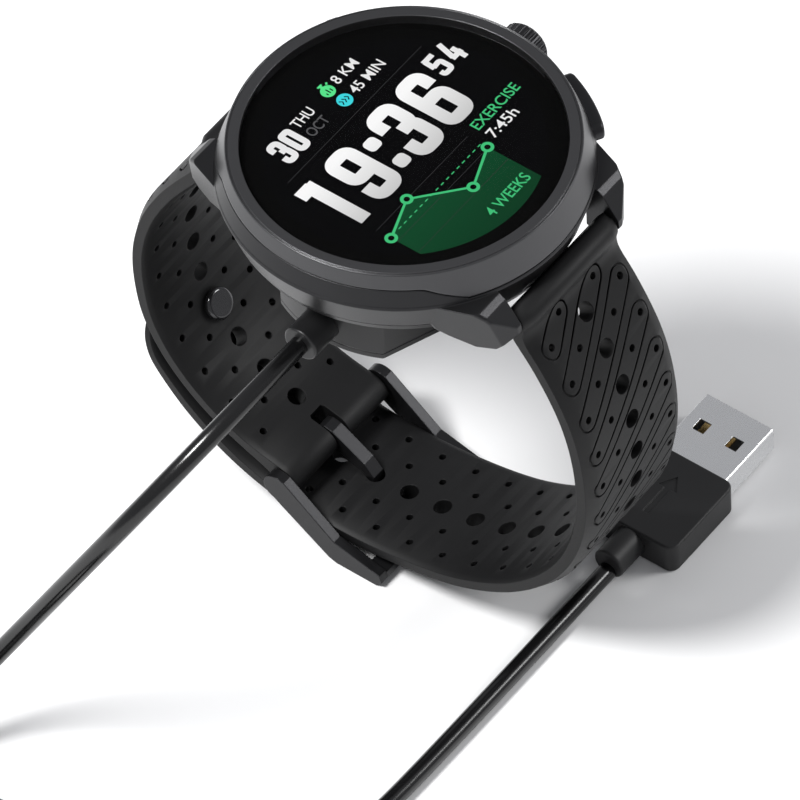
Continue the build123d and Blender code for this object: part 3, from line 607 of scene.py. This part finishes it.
def smooth_line(route):
    """The smooth line that has the route's points as its control points."""
    curve = bpy.data.curves.new("lead_line", "CURVE")
    curve.dimensions = "3D"
    curve.resolution_u = 6
    spline = curve.splines.new("NURBS")
    spline.points.add(len(route) - 1)
    for point, where in zip(spline.points, route):
        point.co = (*(Vector(where) * MM), 1)
    spline.order_u = 3
    spline.use_endpoint_u = True
    holder = bpy.data.objects.new("lead_line", curve)
    bpy.context.scene.collection.objects.link(holder)
    bpy.context.view_layer.update()
    mesh = bpy.data.meshes.new_from_object(holder.evaluated_get(bpy.context.evaluated_depsgraph_get()))
    line = [v.co.copy() for v in mesh.vertices]
    bpy.data.objects.remove(holder)
    bpy.data.meshes.remove(mesh)
    return line


def tube(name, line, radius, material, sides=18):
    """A round tube along a line of points in metres."""
    points, faces = [], []
    across = Vector((0, 0, 1))
    for i, p in enumerate(line):
        along = (line[min(i + 1, len(line) - 1)] - line[max(i - 1, 0)]).normalized()
        across = (across - along * across.dot(along)).normalized()
        other = along.cross(across)
        for k in range(sides):
            a = 2 * math.pi * k / sides
            points.append((p + radius * (math.cos(a) * across + math.sin(a) * other)) / MM)
    for i in range(len(line) - 1):
        for k in range(sides):
            j = (k + 1) % sides
            faces.append((i * sides + k, i * sides + j, (i + 1) * sides + j, (i + 1) * sides + k))
    faces.append(tuple(reversed(range(sides))))
    faces.append(tuple(range((len(line) - 1) * sides, len(line) * sides)))
    piece = piece_from(name, points, faces, material)
    ease_normals(piece)
    return piece


def add_lead():
    """The lead as one smooth tube that stands for the CAD's three stretches."""
    line = smooth_line(lead_route())
    length = sum((b - a).length for a, b in zip(line, line[1:]))
    print("lead length", round(length, 4))
    lead = tube("charging_lead", line, CABLE_R * MM, FINISH["lead_jacket"])
    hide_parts("lead_dock_run", "lead_coil", "lead_plug_run")
    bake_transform(lead)


# ---- dial -------------------------------------------------------------------------------
ART_Z = PANEL_TOP + 0.012    # just above the panel; the layers lie a few micrometres apart
DISPLAY_R = 19.9
CORNER_SHARE = 0.62          # corner radius of a numeral, as a share of its stroke's width


def flat_piece(name, polygons, material, z=ART_Z):
    """Flat shapes on the display, each a list of outline points."""
    points, faces = [], []
    for outline in polygons:
        faces.append(tuple(range(len(points), len(points) + len(outline))))
        points += [(x, y, z) for x, y in outline]
    piece = piece_from(name, points, faces, material)
    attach(piece, WATCH)
    return piece


def rounded(path, radius, steps=7):
    """The path with its corners turned into arcs."""
    pts = [Vector(p) for p in path]
    out = [pts[0]]
    for before, corner, after in zip(pts, pts[1:], pts[2:]):
        a, b = (before - corner), (after - corner)
        r = min(radius, a.length / 2, b.length / 2)
        a, b = corner + a.normalized() * r, corner + b.normalized() * r
        for k in range(steps + 1):
            t = k / steps
            out.append((1 - t) ** 2 * a + 2 * t * (1 - t) * corner + t**2 * b)
    return out + [pts[-1]]


def stroke(path, width, radius=0.0):
    """Quads of a line of even width along a path."""
    pts = rounded(path, radius) if radius else [Vector(p) for p in path]
    sides = []
    for i, p in enumerate(pts):
        along = (pts[min(i + 1, len(pts) - 1)] - pts[max(i - 1, 0)]).normalized()
        across = Vector((-along.y, along.x)) * width / 2
        sides.append((p + across, p - across))
    return [[tuple(a[0]), tuple(a[1]), tuple(b[1]), tuple(b[0])] for a, b in zip(sides, sides[1:])]


# Numerals as strokes in a box one wide and one high; each is a list of paths.
NUMERALS = {
    "0": [[(0.5, 1), (1, 1), (1, 0), (0, 0), (0, 1), (0.5, 1)]],
    "1": [[(-0.6, 1), (1.0, 1)], [(0.78, 1.1), (0.78, -0.1)]],
    "3": [[(0, 0.7), (0, 1), (1, 1), (1, 0.52), (0.35, 0.52)],
          [(0.35, 0.52), (1, 0.52), (1, 0), (0, 0), (0, 0.3)]],
    "4": [[(0.5, 1.1), (0.0, 0.26)], [(-0.2, 0.24), (1.25, 0.24)], [(0.85, 0.6), (0.85, -0.12)]],
    "5": [[(1.15, 1), (-0.15, 1)], [(0.06, 1.0), (0.0, 0.5)],
          [(0, 0.56), (1, 0.6), (1, 0), (0, 0), (0, 0.22)]],
    "6": [[(1, 0.7), (1, 1), (0, 1), (0, 0), (1, 0), (1, 0.54), (0, 0.54)]],
    "7": [[(0, 1), (1, 1), (0.4, -0.1)]],
    "8": [[(0.5, 1), (1, 1), (1, 0.53), (0, 0.53), (0, 1), (0.5, 1)],
          [(0.5, 0.53), (1, 0.53), (1, 0), (0, 0), (0, 0.53)]],
    "9": [[(0, 0.3), (0, 0), (1, 0), (1, 1), (0, 1), (0, 0.47), (1, 0.47)]],
}


def numeral(digit, left, right, low, high, weight):
    """Quads of one numeral that fills a box."""
    x0, x1 = left + weight / 2, right - weight / 2
    y0, y1 = low + weight / 2, high - weight / 2
    quads = []
    for path in NUMERALS[digit]:
        scaled = [(x0 + (x1 - x0) * x, y0 + (y1 - y0) * y) for x, y in path]
        quads += stroke(scaled, weight, weight * CORNER_SHARE)
    return quads


def text_quads(name, words, left, low, width, height, material):
    """Plain lettering fitted to a box on the display."""
    data = bpy.data.curves.new(name, "FONT")
    data.body = words
    data.offset = 0.008
    holder = bpy.data.objects.new(name, data)
    bpy.context.scene.collection.objects.link(holder)
    bpy.context.view_layer.update()
    mesh = bpy.data.meshes.new_from_object(holder.evaluated_get(bpy.context.evaluated_depsgraph_get()))
    bpy.data.objects.remove(holder)
    xs = [v.co.x for v in mesh.vertices]
    ys = [v.co.y for v in mesh.vertices]
    sx, sy = width / (max(xs) - min(xs)), height / (max(ys) - min(ys))
    for v in mesh.vertices:
        v.co = Vector((left + (v.co.x - min(xs)) * sx, low + (v.co.y - min(ys)) * sy, ART_Z)) * MM
    mesh.materials.append(material)
    piece = bpy.data.objects.new(name, mesh)
    bpy.context.scene.collection.objects.link(piece)
    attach(piece, WATCH)


def disc_outline(x, y, r, sides=36):
    """Points round a circle."""
    return [(x + r * math.cos(2 * math.pi * k / sides), y + r * math.sin(2 * math.pi * k / sides))
            for k in range(sides)]


def ring_quads(x, y, outer, inner, sides=36):
    """Quads of a flat ring."""
    a, b = disc_outline(x, y, outer, sides), disc_outline(x, y, inner, sides)
    return [[a[i], a[(i + 1) % sides], b[(i + 1) % sides], b[i]] for i in range(sides)]


def rounded_box(x0, y0, x1, y1, r, steps=5):
    """Points round a box with round corners."""
    corners = ((x1 - r, y1 - r, 0), (x0 + r, y1 - r, 90), (x0 + r, y0 + r, 180), (x1 - r, y0 + r, 270))
    out = []
    for cx, cy, turn in corners:
        for k in range(steps + 1):
            a = math.radians(turn + 90 * k / steps)
            out.append((cx + r * math.cos(a), cy + r * math.sin(a)))
    return out


def joined(groups):
    """One list from several lists of quads."""
    return [quad for group in groups for quad in group]


WHITE = (0.95, 0.95, 0.95)
DIM_WHITE = (0.55, 0.55, 0.55)
GREY = (0.09, 0.09, 0.095)
FAINT = (0.035, 0.035, 0.037)
GREEN = (0.055, 0.52, 0.19)
MINT = (0.1, 0.75, 0.26)
CYAN = (0.05, 0.66, 0.72)
FILL_TOP, FILL_BOTTOM = (0.007, 0.066, 0.025), (0.006, 0.045, 0.018)

# Numerals as (digit, left, right, low, high, width of the stroke).
TIME = [("1", -16.0, -12.2, -3.85, 7.15, 2.15), ("9", -10.1, -4.35, -3.85, 7.3, 2.1),
        ("3", -0.35, 5.4, -3.85, 7.4, 2.1), ("6", 6.5, 12.3, -3.85, 7.5, 2.1)]
SECONDS = [("5", 13.55, 16.0, 2.9, 7.45, 0.85), ("4", 16.7, 19.0, 2.9, 7.5, 0.85)]
DATE = [("3", -11.8, -9.35, 10.8, 15.6, 0.98), ("0", -9.05, -6.65, 10.8, 15.6, 0.98)]
COLON_LEFT, COLON_RIGHT, COLON_SIDE, COLON_CORNER = -3.45, -1.1, 2.3, 0.75
COLON_LOWS = (2.7, -2.4)
# Words as (name, words, left, low, width, height, tone).
WORDS = [("dial_weekday", "THU", -5.9, 13.9, 4.0, 1.72, "plain"),
         ("dial_month", "OCT", -5.9, 11.3, 3.95, 1.72, "grey"),
         ("dial_distance", "8 KM", 3.9, 14.35, 4.9, 1.75, "plain"),
         ("dial_minutes", "45 MIN", 3.9, 11.2, 6.9, 1.75, "plain"),
         ("dial_exercise", "EXERCISE", 8.25, -6.8, 9.8, 1.75, "green"),
         ("dial_hours", "7:45h", 8.3, -9.45, 5.95, 1.8, "plain"),
         ("dial_weeks", "4 WEEKS", -3.3, -17.9, 8.8, 1.8, "green")]
# Thin lines across the dial, as (left, right, height, width).
RULES = [(-14.6, 16.2, 9.2, 0.09), (-14.6, 6.4, -6.1, 0.08), (-14.5, 6.4, -9.7, 0.08),
         (-14.4, 6.4, -13.2, 0.08)]
TIMER_X, TIMER_Y, TIMER_R = 2.05, 14.85, 1.12
TIMER_BARS = ((-0.5, 0.4), (0, 0.95), (0.5, 0.6))        # sideways place and height
PACE_X, PACE_Y, PACE_R = 2.1, 11.95, 1.2
CHART = [(-14.5, -8.6), (-7.6, -6.1), (-0.55, -12.3), (6.45, -9.55)]
FILL_STEP = 0.5
DASHES = 16
DASH_FROM, DASH_PITCH, DASH_L, DASH_Y = -12.6, 1.22, 0.6, -8.45
MARK_R, MARK_HOLE_R, MARK_CORE_R = 0.95, 0.45, 0.5


def chart_fill():
    """The area under the chart's line, cut off by the round display."""
    strips = []
    x = CHART[0][0]
    while x < CHART[-1][0] - 1e-6:
        nxt = min(x + FILL_STEP, CHART[-1][0])
        strips.append([(x, lookup(CHART, x)), (nxt, lookup(CHART, nxt)),
                       (nxt, -math.sqrt(DISPLAY_R**2 - nxt**2)), (x, -math.sqrt(DISPLAY_R**2 - x**2))])
        x = nxt
    return strips


def even(name, colour, strength=1.0):
    """A glowing colour that is the same all over."""
    return lit(name, colour, colour, 1, 0, strength)


def dial_tones():
    """The display's colours by name."""
    return {
        "white": lit("dial_white", WHITE, DIM_WHITE, 6.0, -4.5),
        "plain": even("dial_plain", WHITE, 0.85),
        "grey": even("dial_grey", GREY),
        "faint": even("dial_faint", FAINT),
        "green": even("dial_green", GREEN),
        "mint": even("dial_mint", MINT),
        "cyan": even("dial_cyan", CYAN),
        "fill": lit("dial_fill", FILL_TOP, FILL_BOTTOM, -7.0, -19.0),
        "dark": FINISH["display_layer"],
    }


def add_figures(tone):
    """The time, the seconds, the date and the words."""
    flat_piece("dial_time", joined(numeral(*row) for row in TIME), tone["white"])
    dots = [rounded_box(COLON_LEFT, low, COLON_RIGHT, low + COLON_SIDE, COLON_CORNER) for low in COLON_LOWS]
    flat_piece("dial_colon", dots, tone["white"])
    flat_piece("dial_seconds", joined(numeral(*row) for row in SECONDS), tone["plain"])
    flat_piece("dial_date", joined(numeral(*row) for row in DATE), tone["plain"])
    for name, words, left, low, width, height, colour in WORDS:
        text_quads(name, words, left, low, width, height, tone[colour])


def add_icons(tone):
    """A round stopwatch with three bars, and a disc with three arrowheads."""
    stem_top = TIMER_Y + 1.5
    knob = stroke([(TIMER_X, TIMER_Y + 1.05), (TIMER_X, stem_top)], 0.5)
    cap = stroke([(TIMER_X - 0.45, stem_top), (TIMER_X + 0.45, stem_top)], 0.3)
    lever = stroke([(TIMER_X + 0.85, TIMER_Y + 0.9), (TIMER_X + 1.15, TIMER_Y + 1.2)], 0.3)
    flat_piece("dial_timer_icon", [disc_outline(TIMER_X, TIMER_Y, TIMER_R)] + knob + cap + lever,
               tone["mint"])
    foot = TIMER_Y - 0.5
    bars = [stroke([(TIMER_X + x, foot), (TIMER_X + x, foot + high)], 0.2) for x, high in TIMER_BARS]
    flat_piece("dial_timer_bars", joined(bars), tone["dark"], ART_Z + 0.004)
    flat_piece("dial_pace_icon", [disc_outline(PACE_X, PACE_Y, PACE_R)], tone["cyan"])
    arrows = [stroke([(x, PACE_Y + 0.45), (x + 0.35, PACE_Y), (x, PACE_Y - 0.45)], 0.2)
              for x in (1.3, 1.9, 2.5)]
    flat_piece("dial_pace_arrows", joined(arrows), tone["dark"], ART_Z + 0.004)


def add_chart(tone):
    """Thin rules, and a line chart with marks, dashes and a filled area."""
    rules = [stroke([(left, high), (right, high)], width) for left, right, high, width in RULES]
    flat_piece("dial_rules", joined(rules), tone["faint"], ART_Z + 0.003)
    flat_piece("dial_chart_fill", chart_fill(), tone["fill"], ART_Z - 0.004)
    starts = [DASH_FROM + DASH_PITCH * k for k in range(DASHES)]
    dashes = [stroke([(x, DASH_Y), (x + DASH_L, DASH_Y)], 0.16) for x in starts]
    flat_piece("dial_chart_dashes", joined(dashes), tone["green"], ART_Z + 0.004)
    flat_piece("dial_chart_line", stroke(CHART, 0.42), tone["green"], ART_Z + 0.005)
    marks = [ring_quads(x, y, MARK_R, MARK_HOLE_R) for x, y in CHART]
    flat_piece("dial_chart_marks", joined(marks), tone["green"], ART_Z + 0.008)
    cores = [disc_outline(x, y, MARK_CORE_R) for x, y in CHART]
    flat_piece("dial_chart_mark_cores", cores, tone["dark"], ART_Z + 0.007)


def add_dial():
    """Everything that shows on the display, and the black border printed under the glass."""
    tone = dial_tones()
    add_figures(tone)
    add_icons(tone)
    add_chart(tone)
    flat_piece("glass_border", ring_quads(0, 0, GLASS_R - 0.05, DISPLAY_R, 120), FINISH["seal_rubber"],
               ART_Z + 0.012)


# ---- studio -----------------------------------------------------------------------------
FLOOR_HALF = 2500
SKY = (0.95, 0.96, 1, 1)
SKY_STRENGTH = 0.42
LIGHT_AIM = (0, 0, -0.03)
# Lamps as (name, place and size in metres, power in watts).
LAMPS = [("key", (-0.5, 0.3, 0.9), 0.35, 15), ("fill", (0.7, -0.7, 0.6), 0.4, 5.5)]


def add_floor():
    """A wide white floor at the height that the watch and the plug stand on."""
    half = FLOOR_HALF
    sheet = [(-half, -half, FLOOR), (half, -half, FLOOR), (half, half, FLOOR), (-half, half, FLOOR)]
    ground = piece_from("studio_floor", sheet, [(0, 1, 2, 3)],
                        surface("studio_white", (0.86, 0.86, 0.86), 0.8, vary=0.005, specular=0.1))


def area_light(name, where, size, power):
    """A round soft lamp that looks at the watch."""
    data = bpy.data.lights.new(name, "AREA")
    data.shape = "DISK"
    data.size = size
    data.energy = power
    lamp = bpy.data.objects.new(name, data)
    lamp.location = where
    lamp.rotation_euler = (Vector(LIGHT_AIM) - Vector(where)).to_track_quat("-Z", "Y").to_euler()
    bpy.context.scene.collection.objects.link(lamp)


def add_lights():
    """An even pale sky and two soft lamps."""
    world = bpy.data.worlds.new("studio")
    world.use_nodes = True
    sky = world.node_tree.nodes["Background"]
    sky.inputs["Color"].default_value = SKY
    sky.inputs["Strength"].default_value = SKY_STRENGTH
    bpy.context.scene.world = world
    for lamp in LAMPS:
        area_light(*lamp)
    bpy.context.scene.view_settings.view_transform = "Standard"


add_camera()
add_lead()
paint_cad()
add_strap()
add_dial()
add_floor()
add_lights()
